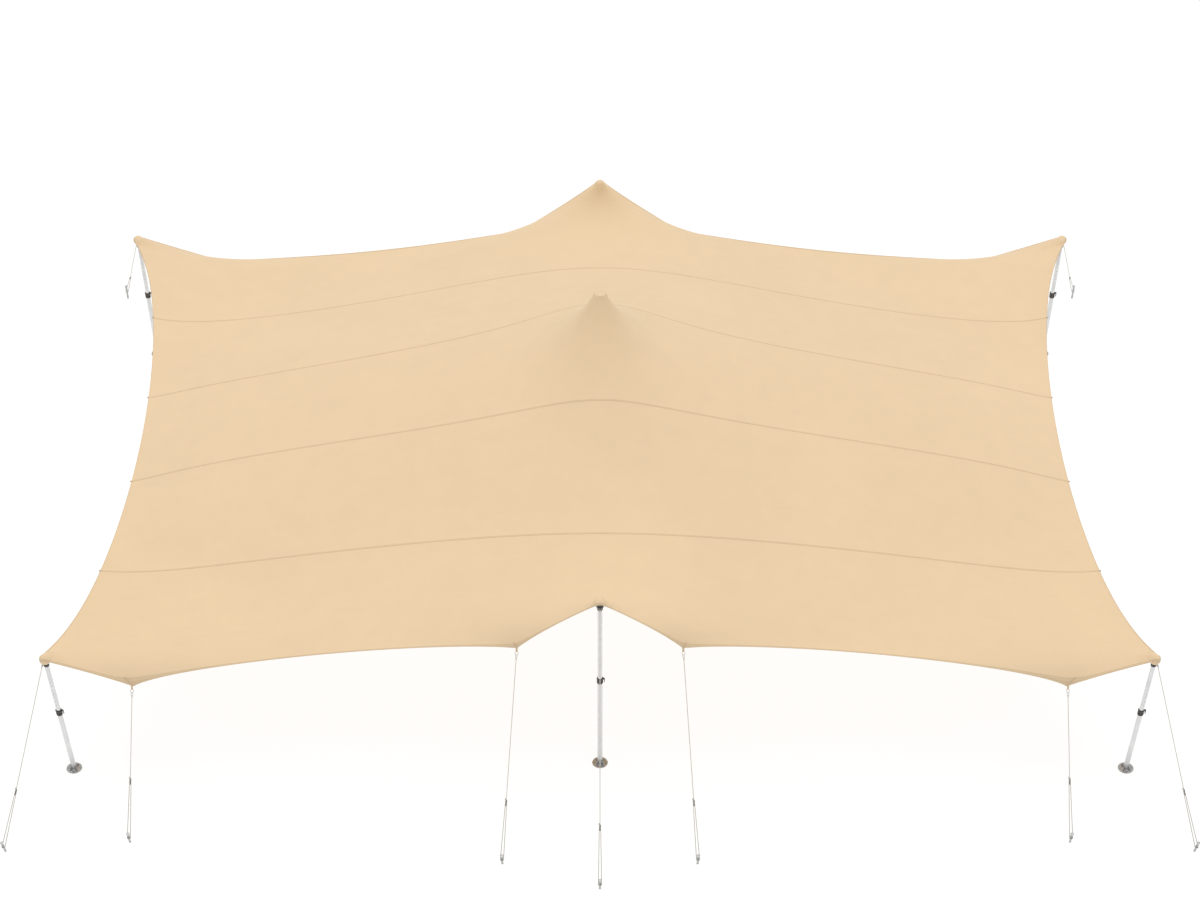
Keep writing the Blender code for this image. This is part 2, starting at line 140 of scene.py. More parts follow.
def thread_pulls(across, along):
    """Pull in every piece of thread, left to right and front to back, and the upward push on each knot."""
    x, y = across[None, :], along[:, None]
    step_x, step_y = np.diff(across), np.diff(along)
    share_x = (np.append(step_x, 0) + np.append(0, step_x)) / 2
    share_y = (np.append(step_y, 0) + np.append(0, step_y)) / 2

    def shared(shares, share):
        return sum(part * share ** (2 * power) for power, part in enumerate(shares))

    def u(at_x):
        return 2 * at_x / SHEET_WIDTH

    def v(at_y):
        return 2 * at_y / SHEET_DEPTH

    def near(at_x, at_y, peak, main_share):
        middle = main_share * np.exp(-np.hypot(at_x, at_y) / MAIN_FOCUS[2])
        to_head = np.hypot(at_x, abs(at_y) - SHEET_DEPTH / 2 + SIDE_INSET)
        side = SIDE_FOCUS[0] * np.exp(-to_head / SIDE_FOCUS[1])
        return (1 - peak[0] * np.exp(-(at_x ** 2 + at_y ** 2) / peak[1] ** 2)) * (1 + middle + side)

    mid_x, mid_y = (x[:, 1:] + x[:, :-1]) / 2, (y[1:] + y[:-1]) / 2
    pull_x = shared(ACROSS_SHARES, v(y)) * (1 + ACROSS_RISE * u(mid_x) ** 2)
    pull_x = pull_x * near(mid_x, y, PEAK_ACROSS, MAIN_FOCUS[0]) * share_y[:, None] / step_x
    hem_share = np.where(abs(mid_x[0]) > OUTER_PICK_CUT, CORNER_HEM_SHARE, 1.0)
    pull_x[[0, -1], :] += LONG_HEM_PULL * hem_share / step_x
    pull_y = shared(ALONG_SHARES, u(x)) * (1 - ALONG_EASE * v(mid_y) ** 2)
    pull_y = pull_y * near(x, mid_y, PEAK_ALONG, MAIN_FOCUS[1]) * share_x / step_y[:, None]
    pull_y[:, [0, -1]] += SHORT_HEM_PULL / step_y[:, None]
    even, by_u, by_v = FULLNESS_SHARES
    push = (even + by_u * u(x) ** 2 + by_v * v(y) ** 2) * share_y[:, None] * share_x
    push[:, [0, -1]] -= SHORT_HEM_SAG * share_y[:, None]
    return pull_x, pull_y, push


def relax(across, along):
    """Pull the net taut between its held knots, by conjugate gradients."""
    pull_x, pull_y, push = (part[..., None] for part in thread_pulls(across, along))
    places = np.zeros((len(along), len(across), 3))
    places[..., 0], places[..., 1] = across[None, :], along[:, None]
    places[..., 2] = CORNER_HEIGHT
    free = np.ones(places.shape[:2] + (1,))
    for row, y in enumerate(along):
        for column, x in enumerate(across):
            place = held_place(x, y)
            if place is not None:
                places[row, column], free[row, column] = place, 0.0
    stiffness = np.zeros_like(free)
    stiffness[:, :-1] += pull_x
    stiffness[:, 1:] += pull_x
    stiffness[:-1] += pull_y
    stiffness[1:] += pull_y

    def thread_force(at):
        force = np.zeros_like(at)
        tug = pull_x * np.diff(at, axis=1)
        force[:, :-1] += tug
        force[:, 1:] -= tug
        tug = pull_y * np.diff(at, axis=0)
        force[:-1] += tug
        force[1:] -= tug
        return force * free

    left_over = thread_force(places)
    left_over += push * free * (0.0, 0.0, 1.0)
    eased = left_over / stiffness
    move, energy = eased, (left_over * eased).sum()
    for _ in range(4000):
        answer = -thread_force(move)
        stride = energy / (move * answer).sum()
        places = places + stride * move
        left_over = left_over - stride * answer
        eased = left_over / stiffness
        before, energy = energy, (left_over * eased).sum()
        if energy < 1e-9:
            break
        move = eased + energy / before * move
    return places


across = threads(SHEET_WIDTH / 2, (0.0, INNER_PICK_CUT, OUTER_PICK_CUT, SHEET_WIDTH / 2))
along = threads(SHEET_DEPTH / 2, (0.0, 1.0, 3.0, SHEET_DEPTH / 2))
knots = relax(across, along)
outward = np.cross(np.gradient(knots, axis=1), np.gradient(knots, axis=0))
outward /= np.linalg.norm(outward, axis=2, keepdims=True)


def lay_on_cloth(bm):
    """Move a piece that is made flat on the cut sheet to where that part of the cloth hangs.

    Its Z stays its height above the cloth.
    """
    flat = np.array([vert.co for vert in bm.verts])
    column = np.clip(np.searchsorted(across, flat[:, 0]) - 1, 0, len(across) - 2)
    row = np.clip(np.searchsorted(along, flat[:, 1]) - 1, 0, len(along) - 2)
    s = ((flat[:, 0] - across[column]) / (across[column + 1] - across[column]))[:, None]
    t = ((flat[:, 1] - along[row]) / (along[row + 1] - along[row]))[:, None]

    def between(grid):
        near = (1 - s) * grid[row, column] + s * grid[row, column + 1]
        far = (1 - s) * grid[row + 1, column] + s * grid[row + 1, column + 1]
        return (1 - t) * near + t * far

    hung = between(knots) + between(outward) * flat[:, 2:3]
    for vert, place in zip(bm.verts, hung):
        vert.co = place


def cloth_at(x, y, height=0.0):
    """Where one flat point of the sheet hangs."""
    bm = bmesh.new()
    bmesh.ops.create_vert(bm, co=(x, y, height))
    lay_on_cloth(bm)
    place = np.array(bm.verts[:][0].co)
    bm.free()
    return place


# ---- The canopy cloth ----
# A knitted stretch cloth, sand coloured, with a matt face. Its knit shows close to as fine ribs, and
# from farther off as faint streaks and clouds. The hem material is painted a little darker, as painted shade
# along the rolled edges.
CLOTH_THICKNESS = 0.003
SAND = (0.862, 0.650, 0.410)


class Wire:
    """One value between a material's nodes. Sums and products of wires add Math nodes."""

    def __init__(self, tree, socket=None):
        self.tree, self.socket = tree, socket

    def node(self, kind, settings=(), sockets=(), out=0):
        """Add a node: its settings first, then the values or wires of its sockets."""
        made = self.tree.nodes.new(kind)
        for name, value in dict(settings).items():
            if name == "stops":
                ramp = made.color_ramp
                for stop, (place, colour) in zip(ramp.elements, value):
                    stop.position, stop.color = place, colour
            else:
                setattr(made, name, value)
        for name, value in dict(sockets).items():
            if isinstance(value, Wire):
                self.tree.links.new(value.socket, made.inputs[name])
            else:
                made.inputs[name].default_value = value
        return Wire(self.tree, made.outputs[out])

    def maths(self, operation, other=0.0, third=0.0, swap=False):
        first, second = (other, self) if swap else (self, other)
        return self.node("ShaderNodeMath", {"operation": operation}, {0: first, 1: second, 2: third})

    def __add__(self, other):
        return self.maths("ADD", other)

    def __sub__(self, other):
        return self.maths("SUBTRACT", other)

    def __mul__(self, other):
        return self.maths("MULTIPLY", other)

    def __truediv__(self, other):
        return self.maths("DIVIDE", other)

    def __rsub__(self, other):
        return self.maths("SUBTRACT", other, swap=True)

    __radd__, __rmul__ = __add__, __mul__

    def tinted(self, low, high):
        """A colour that goes from low to high as this value goes from 0 to 1."""
        return self.node("ShaderNodeMix", {"data_type": "RGBA"},
                         {0: self, 6: (*low, 1.0), 7: (*high, 1.0)}, out=2)

    def parts(self):
        """The X, Y and Z of this vector."""
        split = self.node("ShaderNodeSeparateXYZ", (), {0: self}).socket.node
        return [Wire(self.tree, split.outputs[axis]) for axis in range(3)]

    def noise(self, scale, detail=3.0, rough=0.55):
        """Cloudy noise read at this place, from 0 to 1."""
        return self.node("ShaderNodeTexNoise", (),
                         {"Vector": self, "Scale": scale, "Detail": detail, "Roughness": rough})


def shade(colour, factor):
    """A colour made lighter or darker."""
    return tuple(min(1.0, part * factor) for part in colour)


def finish_material(name, roughness, metallic=0.0, sheen=0.0, coat=0.0):
    """A new material with its constants set, and the wire and the surface that its look is built on."""
    material = bpy.data.materials.new(name)
    material.use_nodes = True
    surface = material.node_tree.nodes["Principled BSDF"]
    surface.inputs["Roughness"].default_value = roughness
    surface.inputs["Metallic"].default_value = metallic
    surface.inputs["Sheen Weight"].default_value = sheen
    surface.inputs["Sheen Roughness"].default_value = 0.5
    surface.inputs["Coat Weight"].default_value = coat
    return material, Wire(material.node_tree), surface


def wear(surface, base, roughness=None, height=None, depth=0.001, metallic=None):
    """Join a colour, and where given a roughness and a height, to a surface."""
    tree = base.tree
    tree.links.new(base.socket, surface.inputs["Base Color"])
    if roughness is not None:
        tree.links.new(roughness.socket, surface.inputs["Roughness"])
    if metallic is not None:
        tree.links.new(metallic.socket, surface.inputs["Metallic"])
    if height is not None:
        bump = height.node("ShaderNodeBump", (), {"Strength": 1.0, "Distance": depth, "Height": height})
        tree.links.new(bump.socket, surface.inputs["Normal"])


def sand_cloth(name, tone=1.0, stitch_rows=()):
    """The canopy's knit. On tapes and hems, stitch_rows are the distances of the seams across them."""
    material, start, surface = finish_material(name, 0.9, sheen=0.12)
    flat = start.node("ShaderNodeUVMap", {"uv_map": "flat"})
    place = start.node("ShaderNodeTexCoord", (), (), out=3)
    u, v, _ = flat.parts()
    clouds = place.noise(0.55, 4.0)
    mottle = place.noise(3.2, 5.0, 0.6)
    streaks = flat.node("ShaderNodeMapping", (), {"Vector": flat, "Scale": (0.6, 26.0, 1.0)}).noise(1.0, 4.0)
    fibres = flat.node("ShaderNodeMapping", (), {"Vector": flat, "Scale": (90.0, 420.0, 1.0)}).noise(1.0, 2.0)
    ribs = (v * (2 * pi / 0.0022)).maths("SINE")
    loops = (u * (2 * pi / 0.0030)).maths("SINE")
    knit = ribs * 0.5 + loops * ribs * 0.3 + fibres * 0.7
    tint = (clouds - 0.5) * 0.55 + (mottle - 0.5) * 0.5 + (streaks - 0.5) * 0.28 + (fibres - 0.5) * 0.12 + 0.5
    tint = tint.maths("MINIMUM", 1.0).maths("MAXIMUM", 0.0)
    colour = tint.tinted(shade(SAND, 0.93 * tone), shade(SAND, 1.07 * tone))
    height = knit
    if stitch_rows:
        sewn = start.node("ShaderNodeUVMap", {"uv_map": "sewn"})
        run, aside, _ = sewn.parts()
        beat = (run / 0.0075).maths("FRACT")
        thread = beat.maths("LESS_THAN", 0.74)
        line = None
        for row in stitch_rows:
            near = (aside - row).maths("ABSOLUTE").maths("LESS_THAN", 0.0009)
            line = near if line is None else line + near
        stitch = line * thread
        pulled = line * (1 - thread)
        colour = colour.node("ShaderNodeMix", {"data_type": "RGBA", "blend_type": "MIX"},
                             {0: stitch, 6: colour, 7: (*shade(SAND, 0.72), 1.0)}, out=2)
        height = knit * 0.35 + stitch * 2.4 - pulled * 1.6
    roughness = mottle * 0.10 + 0.84
    wear(surface, colour, roughness, height, 0.0003)
    return material


def laid_piece(name, bm, material, node=None, smooth=True):
    """Turn a bmesh into a piece of the tent that rides on its only body."""
    mesh = bpy.data.meshes.new(name)
    bm.to_mesh(mesh)
    bm.free()
    for each in (material if isinstance(material, (list, tuple)) else [material]):
        mesh.materials.append(each)
    if smooth:
        mesh.shade_smooth()
        mesh.set_sharp_from_angle(angle=0.7)
    piece = bpy.data.objects.new(name, mesh)
    bpy.context.scene.collection.objects.link(piece)
    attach(piece, "root")
    if node:
        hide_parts(*([node] if isinstance(node, str) else node))
    return piece


def write_flat_map(bm):
    """Keep each point's place on the flat sheet, in metres, as the knit's map."""
    layer = bm.loops.layers.uv.new("flat")
    for face in bm.faces:
        for loop in face.loops:
            loop[layer].uv = loop.vert.co.xy


bm = bmesh.new()
bmesh.ops.create_grid(bm, x_segments=len(across) - 1, y_segments=len(along) - 1, size=0.5)
for vert in bm.verts:
    vert.co.x = across[round((vert.co.x + 0.5) * (len(across) - 1))]
    vert.co.y = along[round((vert.co.y + 0.5) * (len(along) - 1))]
write_flat_map(bm)
lay_on_cloth(bm)
canopy = laid_piece("canopy", bm, sand_cloth("sand_knit"), [f"canopy_strip_{n}" for n in range(1, 6)])
wall = canopy.modifiers.new("cloth thickness", "SOLIDIFY")
wall.thickness = CLOTH_THICKNESS
wall.offset = -1.0

# ---- The seams ----
# The sheet is sewn from five strips, each 2 m wide. Every seam is lapped, covered with a narrow
# tape of the same cloth on both faces and closed with two rows of stitches.
SEAM_HALF = 0.012
SEAM_PROUD = 0.0024


def sewn_tape(name, stations, section, place, material, map_aside):
    """A tape with that closed section, sewn along the flat sheet, then laid with the cloth.

    place gives the flat point and height of a station and a corner of the section.
    """
    bm = bmesh.new()
    columns, turns = len(stations) - 1, len(section)
    bmesh.ops.create_grid(bm, x_segments=columns, y_segments=turns, size=0.5)
    sewn = bm.loops.layers.uv.new("sewn")
    spots = {}
    for vert in bm.verts:
        station = stations[round((vert.co.x + 0.5) * columns)]
        corner = section[round((vert.co.y + 0.5) * turns) % turns]
        spots[vert] = (station, corner)
    for face in bm.faces:
        for loop in face.loops:
            station, corner = spots[loop.vert]
            loop[sewn].uv = (station, map_aside(corner[0]))
    for vert, (station, corner) in spots.items():
        vert.co = place(station, *corner)
    write_flat_map(bm)
    lay_on_cloth(bm)
    bmesh.ops.remove_doubles(bm, verts=bm.verts, dist=0.00002)
    bmesh.ops.holes_fill(bm, edges=[edge for edge in bm.edges if edge.is_boundary], sides=0)
    bmesh.ops.recalc_face_normals(bm, faces=bm.faces)
    return laid_piece(name, bm, material)


def tape_section(half, proud):
    """A flat band round the cloth, thinner at its two edges: (aside, height) corner by corner."""
    under = -CLOTH_THICKNESS
    top = [(-half, 0.0003), (-half * 0.88, proud), (-half * 0.3, proud * 1.1), (half * 0.3, proud * 1.1),
           (half * 0.88, proud), (half, 0.0003)]
    return top + [(aside, under - height) for aside, height in top[::-1]]


seam_cloth = sand_cloth("seam_tape", 0.89, (-0.0085, 0.0085))
for count, seam in enumerate(SEAMS):
    sewn_tape(
        f"seam_tape_{count + 1}", across, tape_section(SEAM_HALF, SEAM_PROUD),
        lambda station, aside, height, seam=seam: (station, seam + aside, height),
        seam_cloth, lambda aside: aside)

# ---- The hems ----
# All four edges are folded over a webbing and sewn down with two rows of stitches, so that the
# hem is a firm flat roll about 32 mm wide that takes the pull between the held points.
HEM_WIDTH = 0.032
HEM_PROUD = 0.0032
hem_section = [(HEM_WIDTH, 0.0002), (HEM_WIDTH - 0.003, HEM_PROUD * 0.9), (HEM_WIDTH * 0.45, HEM_PROUD),
               (0.003, HEM_PROUD * 1.15), (-0.0022, HEM_PROUD * 0.75), (-0.0045, -CLOTH_THICKNESS / 2)]
hem_section += [(aside, -CLOTH_THICKNESS - height) for aside, height in hem_section[-2::-1]]
# The hem cloth is set darker (0.86 of the sand colour): painted shade along the rolled hems.
hem_cloth = sand_cloth("hem_fold", 0.86, (0.007, 0.026))
half_width, half_depth = SHEET_WIDTH / 2, SHEET_DEPTH / 2
HEM_PLACES = {
    "front": (across, lambda s, aside, height: (s, aside - half_depth, height)),
    "back": (across, lambda s, aside, height: (s, half_depth - aside, height)),
    "left": (along, lambda s, aside, height: (aside - half_width, s, height)),
    "right": (along, lambda s, aside, height: (half_width - aside, s, height)),
}
hems = [sewn_tape(f"hem_{edge}", stations, hem_section, place, hem_cloth, lambda aside: aside)
        for edge, (stations, place) in HEM_PLACES.items()]


# ---- The sewn patches under the cloth ----
# Where a pole head or a rope holds the sheet, a second layer of the same cloth is sewn to its
# underside: a wide round one under each middle head, and smaller ones at the corners and rope points.
PATCH_THICKNESS = 0.0026
patch_cloth = sand_cloth("patch_cloth", 0.90, (0.010, 0.018))


def patch_under(name, middle, radius, sides=56):
    """A round doubling on the underside, cut along the threads it lies on and trimmed at the hems."""
    bm = bmesh.new()
    bmesh.ops.create_circle(bm, cap_ends=True, radius=radius, segments=sides)
    bmesh.ops.inset_region(bm, faces=bm.faces[:], thickness=0.03, use_even_offset=True)
    bmesh.ops.translate(bm, verts=bm.verts, vec=(*middle, 0.0))
    for axis, lines, half in ((0, across, half_width), (1, along, half_depth)):
        for line in lines[abs(lines - middle[axis]) < radius]:
            bmesh.ops.bisect_plane(bm, geom=bm.verts[:] + bm.edges[:] + bm.faces[:],
                                   plane_co=(line, line, 0.0), plane_no=(1 - axis, axis, 0.0))
        if abs(middle[axis]) + radius > half:
            way = 1.0 if middle[axis] > 0 else -1.0
            edge = way * (half - HEM_WIDTH * 0.6)
            bmesh.ops.bisect_plane(bm, geom=bm.verts[:] + bm.edges[:] + bm.faces[:], clear_outer=True,
                                   plane_co=(edge, edge, 0.0), plane_no=((1 - axis) * way, axis * way, 0.0))
    sewn = bm.loops.layers.uv.new("sewn")
    for face in bm.faces:
        for loop in face.loops:
            x, y = loop.vert.co.x - middle[0], loop.vert.co.y - middle[1]
            loop[sewn].uv = (atan2(y, x) * radius, radius - hypot(x, y))
    write_flat_map(bm)
    bmesh.ops.translate(bm, verts=bm.verts, vec=(0.0, 0.0, -CLOTH_THICKNESS - 0.0006))
    lower = bmesh.ops.extrude_face_region(bm, geom=bm.faces[:], use_keep_orig=True)["geom"]
    bmesh.ops.translate(bm, verts=[part for part in lower if isinstance(part, bmesh.types.BMVert)],
                        vec=(0.0, 0.0, -PATCH_THICKNESS))
    lay_on_cloth(bm)
    bmesh.ops.recalc_face_normals(bm, faces=bm.faces)
    return laid_piece(name, bm, patch_cloth)


patches = [patch_under("patch_middle", (0.0, 0.0), 0.55, 72)]
for end_name, end in (("front", -1), ("back", 1)):
    patches.append(patch_under(f"patch_{end_name}_middle", (0.0, end * (half_depth - SIDE_INSET)), 0.38))
    for side_name, side in (("left", -1), ("right", 1)):
        patches.append(patch_under(f"patch_{end_name}_{side_name}",
                                   (side * (half_width - 0.16), end * (half_depth - 0.16)), 0.40))
        for kind, cut in (("outer", OUTER_PICK_CUT), ("inner", INNER_PICK_CUT)):
            patches.append(patch_under(f"patch_{end_name}_{side_name}_{kind}",
                                       (side * cut, end * half_depth), 0.20, 40))


# ---- The poles ----
# Seven two-part aluminium poles. A wider lower tube takes the upper one, a moulded clamp with a
# lever locks them, and a row of holes shows how far the pole draws out. The edge poles lean outwards.
POLES = ["middle", "front_middle", "back_middle", "front_left", "front_right", "back_left", "back_right"]
LOWER_TUBE, UPPER_TUBE, TUBE_WALL = 0.035, 0.0315, 0.003
CLAMP_HEIGHT = 0.095


def level_middle(node, top):
    """The middle of a CAD node's highest or lowest points."""
    points = np.array([vert.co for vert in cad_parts[node].data.vertices])
    height = points[:, 2].max() if top else points[:, 2].min()
    level = points[abs(points[:, 2] - height) < 1e-4]
    return np.array([*(level[:, :2].min(axis=0) + level[:, :2].max(axis=0)) / 2, height])


def turned(bm, profile, sides=32):
    """Spin a profile of (radius, height) points round the upright axis and add it to a bmesh."""
    verts = [bm.verts.new((radius, 0.0, height)) for radius, height in profile]
    edges = [bm.edges.new(pair) for pair in zip(verts[:-1], verts[1:])]
    bmesh.ops.spin(bm, geom=verts + edges, angle=2 * pi, steps=sides, use_merge=True,
                   axis=(0, 0, 1), cent=(0, 0, 0))
    bmesh.ops.remove_doubles(bm, verts=bm.verts, dist=0.00003)


def added(bm, before):
    """The points that a bmesh has gained since that set was taken."""
    return [vert for vert in bm.verts if vert not in before]


def block(bm, size, middle, edge):
    """A small moulded block with rounded edges."""
    before = set(bm.verts)
    bmesh.ops.create_cube(bm, size=1.0)
    fresh = added(bm, before)
    bmesh.ops.scale(bm, verts=fresh, vec=size)
    bmesh.ops.translate(bm, verts=fresh, vec=middle)
    edges = list({each for vert in fresh for each in vert.link_edges})
    bmesh.ops.bevel(bm, geom=edges, offset=edge, segments=2, affect="EDGES", profile=0.5, material=-1)


def stand(bm, foot, head):
    """Slant upright work so that it runs from the foot of a pole to its head."""
    for vert in bm.verts:
        share = (vert.co.z - foot[2]) / (head[2] - foot[2])
        vert.co.x += foot[0] + (head[0] - foot[0]) * share
        vert.co.y += foot[1] + (head[1] - foot[1]) * share
    bmesh.ops.recalc_face_normals(bm, faces=bm.faces)


def drawn_aluminium(name):
    """Satin drawn tube: fine lines along it, small scuffs and a dull film near the ground."""
    material, start, surface = finish_material(name, 0.34, metallic=1.0)
    place = start.node("ShaderNodeTexCoord", (), (), out=3)
    lines = place.node("ShaderNodeMapping", (), {"Vector": place, "Scale": (240.0, 240.0, 2.5)})
    lines = lines.noise(1.0, 3.0)
    clouds = place.noise(7.0, 4.0)
    scuffs = ((place.noise(60.0, 4.0, 0.7) - 0.66) * 6.0).maths("MAXIMUM", 0.0).maths("MINIMUM", 1.0)
    height = place.parts()[2]
    film = (1.0 - height * 2.2).maths("MAXIMUM", 0.0) * clouds
    tint = (lines * 0.5 + clouds * 0.5 - scuffs * 0.35 - film * 0.5).maths("MAXIMUM", 0.0)
    roughness = lines * 0.12 + scuffs * 0.25 + film * 0.3 + 0.27
    colour = tint.tinted((0.50, 0.50, 0.50), (0.90, 0.91, 0.92))
    wear(surface, colour, roughness, lines - scuffs * 0.8, 0.0002)
    return material


def moulded(name, colour):
    """Tough moulded plastic or rubber with a fine grain and paler rubbed places."""
    material, start, surface = finish_material(name, 0.55)
    place = start.node("ShaderNodeTexCoord", (), (), out=3)
    grain = place.noise(900.0, 2.0)
    rubbed = ((place.noise(24.0, 5.0, 0.65) - 0.55) * 5.0).maths("MAXIMUM", 0.0).maths("MINIMUM", 1.0)
    tint = grain * 0.25 + rubbed * 0.75
    wear(surface, tint.tinted(colour, shade(colour, 1.9)), rubbed * 0.15 + grain * 0.1 + 0.46, grain, 0.0004)
    return material


tube_metal = drawn_aluminium("drawn_aluminium")
dark_moulding = moulded("dark_moulding", (0.055, 0.052, 0.050))
# hole_dark (material hole_shadow) is near-black painted shade for the holes in the pole tubes.
hole_dark = moulded("hole_shadow", (0.018, 0.018, 0.018))


def pole_tubes(place, foot, head):
    """Lower and upper tube of one pole, with the rolled lip and the row of holes, drawn as dark discs of
    painted shade.
    """
    low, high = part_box(f"pole_{place}")
    bottom, top = low.z, high.z
    join = top * 0.54
    bm = bmesh.new()
    turned(bm, [(LOWER_TUBE - TUBE_WALL, bottom), (LOWER_TUBE, bottom + 0.001), (LOWER_TUBE, join - 0.004),
                (LOWER_TUBE - 0.001, join), (UPPER_TUBE + 0.0002, join), (UPPER_TUBE, join + 0.002),
                (UPPER_TUBE, top - 0.0015), (UPPER_TUBE - 0.001, top), (UPPER_TUBE - TUBE_WALL, top),
                (UPPER_TUBE - TUBE_WALL, join - 0.1), (LOWER_TUBE - TUBE_WALL, join - 0.1),
                (LOWER_TUBE - TUBE_WALL, bottom)], sides=48)
    # Each hole is a thin near-black disc set into the tube wall, not a cut: painted shade where the hole is.
    for count in range(7):
        before = set(bm.verts)
        bmesh.ops.create_cone(bm, cap_ends=True, segments=16, radius1=0.0042, radius2=0.0042, depth=0.0012)
        fresh = added(bm, before)
        for vert in fresh:
            vert.co = (vert.co.x, -UPPER_TUBE - vert.co.z, vert.co.y + join + 0.16 + 0.075 * count)
        for face in {face for vert in fresh for face in vert.link_faces}:
            face.material_index = 1
    stand(bm, foot, head)
    laid_piece(f"tube_{place}", bm, [tube_metal, hole_dark], f"pole_{place}")
    return join


def pole_clamp(place, foot, head, join):
    """Moulded clamp round the join, ribbed for the hand, with its lever."""
    bm = bmesh.new()
    low = join - CLAMP_HEIGHT * 0.55
    profile = [(LOWER_TUBE + 0.0004, low), (LOWER_TUBE + 0.006, low + 0.002)]
    for rib in range(5):
        level = low + 0.008 + rib * 0.011
        profile += [(LOWER_TUBE + 0.0085, level), (LOWER_TUBE + 0.0085, level + 0.006),
                    (LOWER_TUBE + 0.0066, level + 0.0075), (LOWER_TUBE + 0.0066, level + 0.0095)]
    profile += [(LOWER_TUBE + 0.0095, low + 0.068), (LOWER_TUBE + 0.0095, low + CLAMP_HEIGHT - 0.004),
                (LOWER_TUBE + 0.0065, low + CLAMP_HEIGHT), (UPPER_TUBE + 0.0004, low + CLAMP_HEIGHT),
                (UPPER_TUBE + 0.0004, join + 0.001), (LOWER_TUBE + 0.0004, join + 0.001),
                (LOWER_TUBE + 0.0004, low)]
    turned(bm, profile, sides=40)
    block(bm, (0.020, 0.018, 0.030), (LOWER_TUBE + 0.014, 0.0, low + 0.080), 0.004)
    block(bm, (0.010, 0.016, 0.074), (LOWER_TUBE + 0.026, 0.0, low + 0.052), 0.003)
    stand(bm, foot, head)
    laid_piece(f"clamp_{place}", bm, dark_moulding)


def pole_crown(place, foot, head):
    """Moulded head: a ribbed socket round the tube, a flange, and the crown that carries the cloth."""
    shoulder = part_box(f"pole_{place}")[1].z
    flat = 0.040 if place == "middle" else 0.0
    radius = {"middle": MAIN_EDGE, "front_middle": SIDE_RADIUS - 0.021, "back_middle": SIDE_RADIUS - 0.021
              }.get(place, CORNER_RADIUS - 0.021)
    socket = UPPER_TUBE + 0.0065
    profile = [(UPPER_TUBE + 0.0004, shoulder - 0.075), (socket, shoulder - 0.073)]
    for ring in range(3):
        level = shoulder - 0.062 + ring * 0.018
        profile += [(socket, level), (socket + 0.0025, level + 0.003), (socket + 0.0025, level + 0.007),
                    (socket, level + 0.010)]
    profile += [(socket, shoulder - 0.002), (socket + 0.008, shoulder + 0.001),
                (socket + 0.008, shoulder + 0.006), (socket + 0.001, shoulder + 0.010)]
    profile += [(radius * sin(turn) + flat, head[2] - radius + radius * cos(turn))
                for turn in (pi * share / 16 for share in range(9, 0, -1))]
    profile += [(flat, head[2])] if flat else []
    profile += [(0.0, head[2])]
    bm = bmesh.new()
    turned(bm, profile, sides=40)
    bmesh.ops.holes_fill(bm, edges=[edge for edge in bm.edges if edge.is_boundary], sides=0)
    stand(bm, foot, head)
    laid_piece(f"head_{place}", bm, dark_moulding, f"pole_head_{place}")


for place in POLES:
    foot, head = level_middle(f"pole_foot_{place}", False), level_middle(f"pole_head_{place}", True)
    join = pole_tubes(place, foot, head)
    pole_clamp(place, foot, head, join)
    pole_crown(place, foot, head)


# ---- The feet ----
# Hot-dip galvanised steel: a round plate with a rolled rim, a sleeve welded upright on it for the
# tube, four gusset plates between them and four bolts that hold the plate to the ground.
PLATE_RADIUS, PLATE_THICKNESS = 0.11, 0.008
SLEEVE_RADIUS, SLEEVE_TOP = 0.0392, 0.085


def galvanised(name, tone=1.0):
    """Zinc-coated steel: a spangle of grey crystals, dulled and a little earthy near the ground."""
    material, start, surface = finish_material(name, 0.5, metallic=0.85)
    place = start.node("ShaderNodeTexCoord", (), (), out=3)
    spangle = place.node("ShaderNodeTexVoronoi", (), {"Vector": place, "Scale": 55.0}, out=1).parts()[0]
    clouds = place.noise(18.0, 5.0, 0.6)
    grit = place.noise(400.0, 3.0)
    height = place.parts()[2]
    earthy = ((1.0 - height * 14.0).maths("MAXIMUM", 0.0) * clouds * 0.5).maths("MINIMUM", 1.0)
    zinc = spangle * 0.4 + clouds * 0.6
    zinc = zinc.tinted(shade((0.36, 0.37, 0.38), tone), shade((0.66, 0.67, 0.68), tone))
    colour = zinc.node("ShaderNodeMix", {"data_type": "RGBA"},
                       {0: earthy, 6: zinc, 7: (0.30, 0.26, 0.21, 1.0)}, out=2)
    roughness = spangle * 0.12 + clouds * 0.15 + earthy * 0.2 + 0.36
    wear(surface, colour, roughness, spangle * 0.3 + grit * 0.5, 0.0002)
    return material


zinc = galvanised("zinc_coat")


